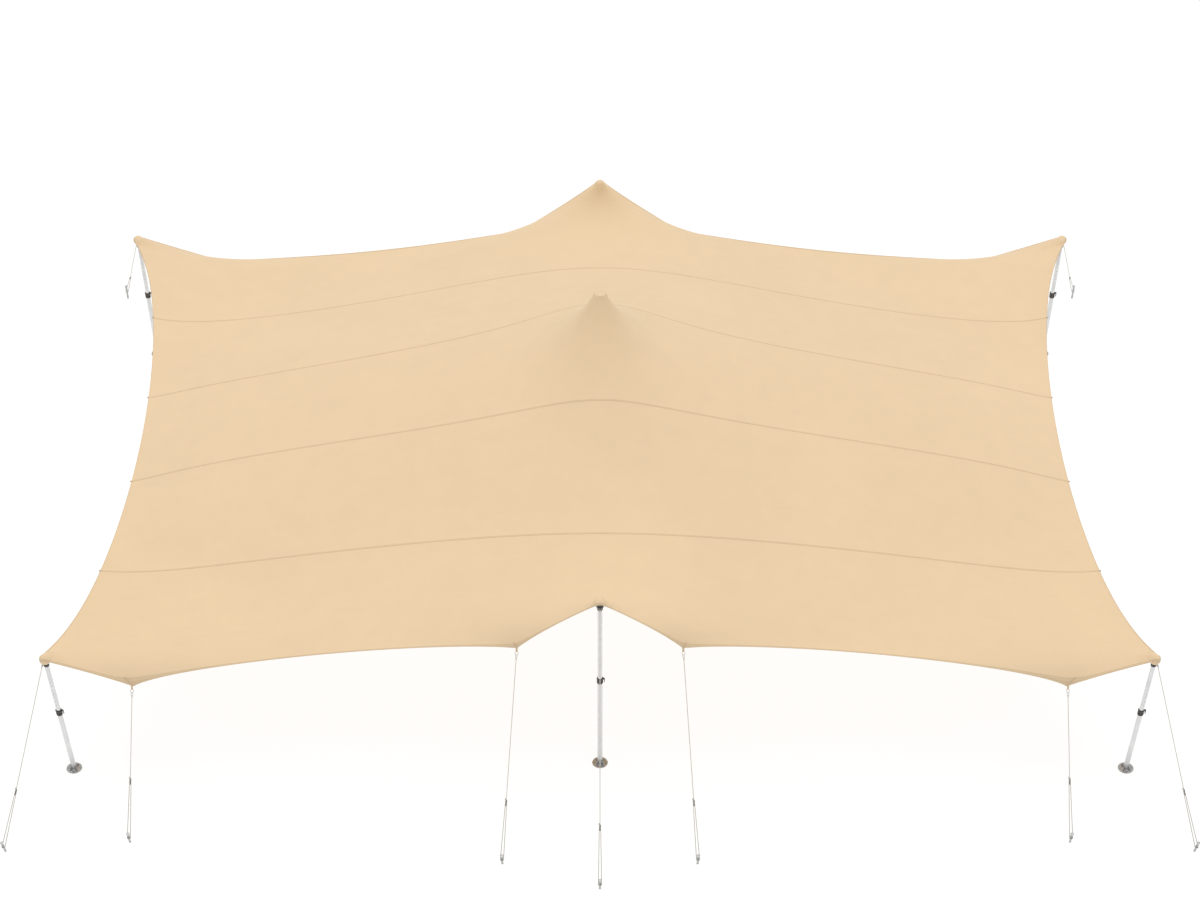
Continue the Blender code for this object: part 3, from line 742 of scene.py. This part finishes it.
def plate_foot(place, foot, head):
    """The plate, sleeve, gussets and bolts under one pole."""
    bm = bmesh.new()
    rim = PLATE_RADIUS
    turned(bm, [(0.0, 0.0), (rim - 0.002, 0.0), (rim, 0.002), (rim, PLATE_THICKNESS - 0.002),
                (rim - 0.002, PLATE_THICKNESS), (SLEEVE_RADIUS + 0.012, PLATE_THICKNESS),
                (SLEEVE_RADIUS + 0.008, PLATE_THICKNESS + 0.002),
                (SLEEVE_RADIUS + 0.004, PLATE_THICKNESS + 0.006),
                (SLEEVE_RADIUS, PLATE_THICKNESS + 0.008), (SLEEVE_RADIUS, SLEEVE_TOP - 0.002),
                (SLEEVE_RADIUS - 0.002, SLEEVE_TOP), (SLEEVE_RADIUS - 0.0038, SLEEVE_TOP),
                (SLEEVE_RADIUS - 0.0038, PLATE_THICKNESS + 0.0002), (0.0, PLATE_THICKNESS + 0.0002)],
           sides=48)
    for quarter in range(4):
        turn = pi / 4 + quarter * pi / 2
        outline = [(SLEEVE_RADIUS - 0.001, PLATE_THICKNESS), (rim - 0.026, PLATE_THICKNESS),
                   (rim - 0.026, PLATE_THICKNESS + 0.006), (SLEEVE_RADIUS + 0.006, SLEEVE_TOP - 0.014),
                   (SLEEVE_RADIUS - 0.001, SLEEVE_TOP - 0.014)]
        verts = [bm.verts.new((reach * cos(turn) + 0.003 * sin(turn),
                               reach * sin(turn) - 0.003 * cos(turn), level)) for reach, level in outline]
        side = bmesh.ops.extrude_face_region(bm, geom=[bm.faces.new(verts)], use_keep_orig=True)["geom"]
        bmesh.ops.translate(bm, verts=[part for part in side if isinstance(part, bmesh.types.BMVert)],
                            vec=(-0.006 * sin(turn), 0.006 * cos(turn), 0.0))
        turn = quarter * pi / 2
        for sides, radius, low, high in ((24, 0.0125, PLATE_THICKNESS, PLATE_THICKNESS + 0.0025),
                                         (6, 0.0095, PLATE_THICKNESS + 0.0025, PLATE_THICKNESS + 0.010)):
            before = set(bm.verts)
            bmesh.ops.create_cone(bm, cap_ends=True, segments=sides, radius1=radius, radius2=radius * 0.96,
                                  depth=high - low)
            bmesh.ops.translate(bm, verts=added(bm, before),
                                vec=(cos(turn) * (rim - 0.030), sin(turn) * (rim - 0.030), (low + high) / 2))
    stand(bm, foot, head)
    laid_piece(f"foot_{place}", bm, zinc, f"pole_foot_{place}")


for place in POLES:
    plate_foot(place, level_middle(f"pole_foot_{place}", False), level_middle(f"pole_head_{place}", True))


# ---- The stakes ----
# Round steel bars driven into the ground, leaning away from the tent, each with a head spread by
# the hammer and a collar below it that stops the rope slipping off.
ROPE_PLACES = [node[5:] for node in sorted(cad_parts) if node.startswith("rope_")]


def driven_stake(place):
    """One stake above the ground, with its mushroomed head and its collar."""
    node = f"stake_{place}"
    foot, head = level_middle(node, False), level_middle(node, True)
    bm = bmesh.new()
    tall = head[2]
    turned(bm, [(0.0, 0.0), (0.0150, 0.0), (0.0146, tall * 0.2), (0.0150, tall * 0.4), (0.0150, tall * 0.66),
                (0.0165, tall * 0.67), (0.0200, tall * 0.68), (0.0205, tall * 0.70), (0.0170, tall * 0.72),
                (0.0150, tall * 0.73), (0.0150, tall - 0.022), (0.0180, tall - 0.018), (0.0232, tall - 0.013),
                (0.0240, tall - 0.009), (0.0225, tall - 0.004), (0.0170, tall - 0.001), (0.0080, tall),
                (0.0, tall)], sides=32)
    stand(bm, foot, head)
    laid_piece(f"peg_{place}", bm, zinc, node)
    return foot, head


# ---- The guy ropes ----
# Pale three-strand ropes, 12 mm thick. Each is spliced round a ring at the cloth or tied round the
# neck of a pole, runs down taut, doubles back through a slider and loops round its stake.
ROPE_RADIUS, LAY_STEP, LAY_TURN = 0.006, 0.0062, 0.63
EYE_RADIUS, SPLICE_BELOW, STAKE_LOOP, LEGS_APART = 0.013, 0.045, 0.0215, 0.010
SLIDER_UP, SLIDER_SIZE = 0.75, (0.085, 0.026, 0.009)


def rope_fibre(name, colour):
    """Matt rope fibre: fine hairs along the strands, and dust that makes it darker nearer the ground."""
    material, start, surface = finish_material(name, 0.85, sheen=0.2)
    place = start.node("ShaderNodeTexCoord", (), (), out=3)
    hairs = place.noise(700.0, 3.0, 0.7)
    clouds = place.noise(6.0, 4.0)
    dusty = (1.0 - place.parts()[2] * 1.1).maths("MAXIMUM", 0.0) * clouds
    tint = (hairs * 0.5 + clouds * 0.6 - dusty * 0.7).maths("MAXIMUM", 0.0).maths("MINIMUM", 1.0)
    wear(surface, tint.tinted(shade(colour, 0.62), shade(colour, 1.1)), hairs * 0.12 + 0.78, hairs, 0.0004)
    return material


rope_cord = rope_fibre("guy_rope_fibre", (0.72, 0.68, 0.59))
ring_steel = galvanised("ring_steel", 1.25)
slider_moulding = moulded("slider_moulding", (0.10, 0.095, 0.09))


def strand(bm, path, radius=ROPE_RADIUS, step=LAY_STEP):
    """A three-strand rope swept along a path of points, its lay turning as it goes."""
    points = [Vector(point) for point in path]
    run = [0.0]
    for near, far in zip(points[:-1], points[1:]):
        run.append(run[-1] + (far - near).length)
    count = max(2, round(run[-1] / step))
    places = [[float(np.interp(run[-1] * share / count, run, [point[axis] for point in points]))
               for axis in range(3)] for share in range(count + 1)]
    places = [Vector(place) for place in places]
    side, rings = Vector((0.31, 0.95, 0.05)), []
    for index, place in enumerate(places):
        ahead = (places[min(index + 1, count)] - places[max(index - 1, 0)]).normalized()
        side = (side - ahead * side.dot(ahead)).normalized()
        across_it = ahead.cross(side)
        twist = index * LAY_TURN
        ring = []
        for corner in range(12):
            turn = corner * pi / 6
            reach = radius * (0.868 + 0.132 * cos(3 * turn))
            ring.append(bm.verts.new(place + side * (reach * cos(turn + twist))
                                     + across_it * (reach * sin(turn + twist))))
        rings.append(ring)
    for near, far in zip(rings[:-1], rings[1:]):
        for corner in range(12):
            bm.faces.new((near[corner], near[corner - 1], far[corner - 1], far[corner]))
    bm.faces.new(rings[0])
    bm.faces.new(rings[-1][::-1])


def wrapped(bm, start, end, radius, turns):
    """Whipping twine: tight turns laid round the rope from one place to another."""
    ahead = (end - start).normalized()
    side = ahead.orthogonal().normalized()
    across_it = ahead.cross(side)
    length = (end - start).length
    profile = []
    for turn in range(turns):
        low, pitch = length * turn / turns, length / turns
        profile += [(radius, low + pitch * 0.05), (radius + pitch * 0.45, low + pitch * 0.3),
                    (radius + pitch * 0.45, low + pitch * 0.7), (radius, low + pitch * 0.95)]
    before = set(bm.verts)
    turned(bm, [(0.0, 0.0)] + profile + [(0.0, length)], sides=14)
    for vert in added(bm, before):
        vert.co = start + side * vert.co.x + across_it * vert.co.y + ahead * vert.co.z


def rope_ends(place):
    """The upper and lower end of a CAD rope, on its axis."""
    points = [vert.co[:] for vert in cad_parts[f"rope_{place}"].data.vertices]
    points = np.unique(np.round(points, 5), axis=0)
    middle = (points[:, 2].min() + points[:, 2].max()) / 2
    high = points[:, 2] > middle
    return Vector(points[high].mean(axis=0)), Vector(points[~high].mean(axis=0))


def arc(middle, out_way, side_way, radius, first, last, steps):
    """Points round part of a circle."""
    return [middle + out_way * (radius * cos(first + (last - first) * share / steps))
            + side_way * (radius * sin(first + (last - first) * share / steps)) for share in range(steps + 1)]


def guy_rope(place):
    """One rope from its ring or pole down to its stake, with its slider."""
    top, bottom = rope_ends(place)
    ahead = (bottom - top).normalized()
    aside = ahead.cross(Vector((0.0, 0.0, 1.0))).normalized()
    upper = aside.cross(ahead).normalized()
    foot, head = driven_stake(place)
    length = (bottom - top).length
    slider = top + ahead * (length - SLIDER_UP)
    at_height = (bottom.z - foot[2]) / (head[2] - foot[2])
    bar = Vector([foot[axis] + (head[axis] - foot[axis]) * at_height for axis in range(3)])
    tail_way = Vector((bar.x - top.x, bar.y - top.y, 0.0)).normalized()
    bm = bmesh.new()
    picked = place.endswith(("outer", "inner"))
    if picked:
        eye = top + ahead * 0.092
        loop = arc(eye, ahead * -1.0, aside, EYE_RADIUS, 0.0, pi * 0.62, 9)
        other = arc(eye, ahead * -1.0, aside * -1.0, EYE_RADIUS, 0.0, pi * 0.62, 9)
        splice = eye + ahead * SPLICE_BELOW
        strand(bm, [splice + aside * 0.003] + loop[::-1] + other[1:] + [splice - aside * 0.003], 0.0052)
        strand(bm, [splice, slider - ahead * 0.02])
        wrapped(bm, splice - ahead * 0.012, splice + ahead * 0.020, ROPE_RADIUS + 0.0004, 12)
    else:
        neck = level_middle(f"pole_head_{place}", True)
        pole_foot = level_middle(f"pole_foot_{place}", False)
        share = (top.z - pole_foot[2]) / (neck[2] - pole_foot[2])
        axis_point = Vector([pole_foot[axis] + (neck[axis] - pole_foot[axis]) * share for axis in range(3)])
        out_way = Vector((top.x - axis_point.x, top.y - axis_point.y, 0.0)).normalized()
        side_way = Vector((-out_way.y, out_way.x, 0.0))
        hold = UPPER_TUBE + 0.0095 + ROPE_RADIUS
        ring = arc(axis_point, out_way, side_way, hold, 0.35, 2 * pi - 0.35, 40)
        knot = axis_point + out_way * (hold + 0.022)
        knot.z -= 0.012
        strand(bm, [knot] + ring + [knot])
        strand(bm, [knot, slider - ahead * 0.02])
        wrapped(bm, knot - ahead * 0.012, knot + ahead * 0.022, ROPE_RADIUS + 0.0022, 5)
    around = arc(bar, tail_way, aside, STAKE_LOOP, -pi / 2, pi / 2, 14)
    near_side = slider + ahead * 0.03 - aside * LEGS_APART
    far_side = slider + ahead * 0.03 + aside * LEGS_APART
    strand(bm, [slider - ahead * 0.022 - aside * LEGS_APART * 0.3, near_side] + around + [far_side]
           + [slider - ahead * 0.020 + aside * LEGS_APART * 0.8,
              slider - ahead * 0.060 + aside * LEGS_APART * 1.1 + upper * 0.002])
    knot = slider - ahead * 0.052 + aside * LEGS_APART * 1.1
    wrapped(bm, knot - ahead * 0.012, knot + ahead * 0.012, ROPE_RADIUS + 0.001, 3)
    laid_piece(f"guy_{place}", bm, rope_cord, f"rope_{place}")
    bm = bmesh.new()
    block(bm, SLIDER_SIZE, (0.0, 0.0, 0.0), 0.003)
    for vert in bm.verts:
        vert.co = slider + ahead * vert.co.x + aside * vert.co.y + upper * vert.co.z
    bmesh.ops.recalc_face_normals(bm, faces=bm.faces)
    laid_piece(f"slider_{place}", bm, slider_moulding)
    return top, ahead, aside


# ---- The rings and webbing at the hems ----
# At each rope point a folded webbing tab is sewn over the hem and holds a welded steel ring that
# the rope is spliced to. Shorter loops of webbing end every seam at the two side hems.
RING_RADIUS, RING_BAR, TAB_WIDTH = 0.022, 0.0035, 0.026
webbing = sand_cloth("webbing", 0.80, (0.004, 0.022))


def band(bm, path, wide_way, width, thickness):
    """A flat strap along a path of points."""
    layer = bm.loops.layers.uv.get("sewn") or bm.loops.layers.uv.new("sewn")
    flat_layer = bm.loops.layers.uv.get("flat") or bm.loops.layers.uv.new("flat")
    run, rings = 0.0, []
    for index, point in enumerate(path):
        ahead = (path[min(index + 1, len(path) - 1)] - path[max(index - 1, 0)]).normalized()
        off = ahead.cross(wide_way).normalized() * (thickness / 2)
        run += (point - path[index - 1]).length if index else 0.0
        half = wide_way * (width / 2)
        ring = [bm.verts.new(place) for place in
                (point - half + off, point + half + off, point + half - off, point - half - off)]
        rings.append((ring, run))
    for (near, start), (far, stop) in zip(rings[:-1], rings[1:]):
        for corner in range(4):
            face = bm.faces.new((near[corner], near[corner - 1], far[corner - 1], far[corner]))
            places = {near[corner]: start, near[corner - 1]: start, far[corner - 1]: stop, far[corner]: stop}
            for loop in face.loops:
                across_share = 0.0 if loop.vert in (near[0], near[3], far[0], far[3]) else width
                loop[layer].uv = loop[flat_layer].uv = (places[loop.vert], across_share)
    bm.faces.new(rings[0][0])
    bm.faces.new(rings[-1][0][::-1])
    bmesh.ops.recalc_face_normals(bm, faces=bm.faces)


def rope_fitting(place, top, ahead, aside):
    """The ring and tab of one rope point."""
    ring_middle = top + ahead * 0.062
    bm = bmesh.new()
    hoop = [ring_middle + ahead * (RING_RADIUS * cos(turn)) + aside * (RING_RADIUS * sin(turn))
            for turn in (2 * pi * share / 36 for share in range(36))]
    upper = aside.cross(ahead).normalized()
    rings = []
    for index, point in enumerate(hoop):
        out = (point - ring_middle).normalized()
        rings.append([bm.verts.new(point + out * (RING_BAR * cos(turn)) + upper * (RING_BAR * sin(turn)))
                      for turn in (2 * pi * share / 12 for share in range(12))])
    for index in range(36):
        near, far = rings[index - 1], rings[index]
        for corner in range(12):
            bm.faces.new((near[corner], near[corner - 1], far[corner - 1], far[corner]))
    bmesh.ops.recalc_face_normals(bm, faces=bm.faces)
    laid_piece(f"ring_{place}", bm, ring_steel)
    side, end = (-1 if "left" in place else 1), (-1 if "front" in place else 1)
    cut = side * (OUTER_PICK_CUT if place.endswith("outer") else INNER_PICK_CUT)
    edge = end * half_depth
    wide = Vector(cloth_at(cut + 0.03, edge)) - Vector(cloth_at(cut - 0.03, edge))
    bight = ring_middle - ahead * RING_RADIUS
    runs = []
    for height, inwards in ((0.0065, (0.034, 0.024, 0.014, 0.003)), (-0.0095, (0.003, 0.014, 0.024, 0.034))):
        runs.append([Vector(cloth_at(cut, edge - end * inward, height)) for inward in inwards])
    wide = (wide - ahead * wide.dot(ahead)).normalized()
    upper = (runs[0][-1] - runs[1][0]).normalized()
    upper = (upper - ahead * upper.dot(ahead)).normalized()
    turn_over = arc(bight, ahead, upper, RING_BAR + 0.0022, 1.7, -1.7, 8)
    bm = bmesh.new()
    band(bm, runs[0] + turn_over + runs[1], wide, TAB_WIDTH, 0.0022)
    return laid_piece(f"tab_{place}", bm, webbing)


def seam_loop(side_name, side, count, seam):
    """The webbing loop that ends one seam at a side hem."""
    edge = Vector(cloth_at(side * half_width, seam))
    inner = Vector(cloth_at(side * (half_width - 0.03), seam))
    out = (edge - inner).normalized()
    wide = (Vector(cloth_at(side * half_width, seam + 0.02)) - edge).normalized()
    wide = (wide - out * wide.dot(out)).normalized()
    upper_run, lower_run = (
        [Vector(cloth_at(side * (half_width - inward), seam, height)) for inward in inwards]
        for height, inwards in ((0.0058, (0.05, 0.03, 0.004)), (-0.0088, (0.004, 0.03, 0.05))))
    up = (upper_run[2] - lower_run[0]).normalized()
    bend = arc(edge + out * 0.014, out, up, 0.0055, 1.2, -1.2, 8)
    bm = bmesh.new()
    band(bm, upper_run + bend + lower_run, wide, 0.020, 0.0020)
    return laid_piece(f"seam_loop_{side_name}_{count + 1}", bm, webbing)


for place in ROPE_PLACES:
    top, ahead, aside = guy_rope(place)
    if place.endswith(("outer", "inner")):
        rope_fitting(place, top, ahead, aside)
for side_name, side in (("left", -1), ("right", 1)):
    for count, seam in enumerate(SEAMS):
        seam_loop(side_name, side, count, seam)


# ---- The corner pockets ----
# Each corner is sewn into a deep round pocket of doubled cloth that the pole head pushes into. It
# points outwards past the hems like a finger.
POCKET_RADIUS, POCKET_BAR = CORNER_RADIUS - 0.0015, 0.07
pocket_cloth = sand_cloth("pocket_cloth", 0.97)


def pocket(name, end, side):
    """The finger-shaped pocket over one corner head."""
    tip = np.array((side * CORNER_X, end * CORNER_Y, CORNER_HEIGHT))
    inward = np.array((-side, -end, 0.0)) / sqrt(2)
    across_it = np.array((inward[1], -inward[0], 0.0))
    bm = bmesh.new()
    bmesh.ops.create_uvsphere(bm, u_segments=40, v_segments=24, radius=POCKET_RADIUS)
    write_flat_map(bm)
    for vert in bm.verts:
        ahead, aside, up = vert.co.z, vert.co.x, vert.co.y
        if ahead > 0:
            share = ahead / POCKET_RADIUS
            ahead = ahead * 1.5 + POCKET_BAR * share ** 0.35
            up -= 0.034 * share
        vert.co = tip + inward * ahead + across_it * aside + np.array((0.0, 0.0, up))
    bmesh.ops.recalc_face_normals(bm, faces=bm.faces)
    return laid_piece(name, bm, pocket_cloth)


pockets = [pocket(f"pocket_{end_name}_{side_name}", end, side)
           for end_name, end in (("front", -1), ("back", 1))
           for side_name, side in (("left", -1), ("right", 1))]

# ---- The studio ----
# A plain pale floor, an even sky and one broad soft light from overhead.
bm = bmesh.new()
bmesh.ops.create_grid(bm, x_segments=1, y_segments=1, size=150.0)
floor_mesh = bpy.data.meshes.new("floor")
bm.to_mesh(floor_mesh)
bm.free()
floor = bpy.data.objects.new("floor", floor_mesh)
bpy.context.scene.collection.objects.link(floor)
floor_look, start, surface = finish_material("studio_floor", 0.95)
surface.inputs["Base Color"].default_value = (0.15, 0.15, 0.15, 1.0)
surface.inputs["Emission Color"].default_value = (1.0, 1.0, 1.0, 1.0)
surface.inputs["Emission Strength"].default_value = 0.88
floor_mesh.materials.append(floor_look)

world = bpy.data.worlds.new("studio")
world.use_nodes = True
sky = world.node_tree.nodes["Background"]
sky.inputs["Color"].default_value = (1.0, 1.0, 1.0, 1.0)
sky.inputs["Strength"].default_value = 0.55
bpy.context.scene.world = world
lamp = bpy.data.lights.new("overhead", "SUN")
lamp.energy = 1.45
lamp.angle = radians(50)
overhead = bpy.data.objects.new("overhead", lamp)
overhead.rotation_euler = (radians(-8), 0.0, 0.0)
overhead.location = (0.0, 4.0, 30.0)
bpy.context.scene.collection.objects.link(overhead)
bpy.context.scene.view_settings.view_transform = "Standard"
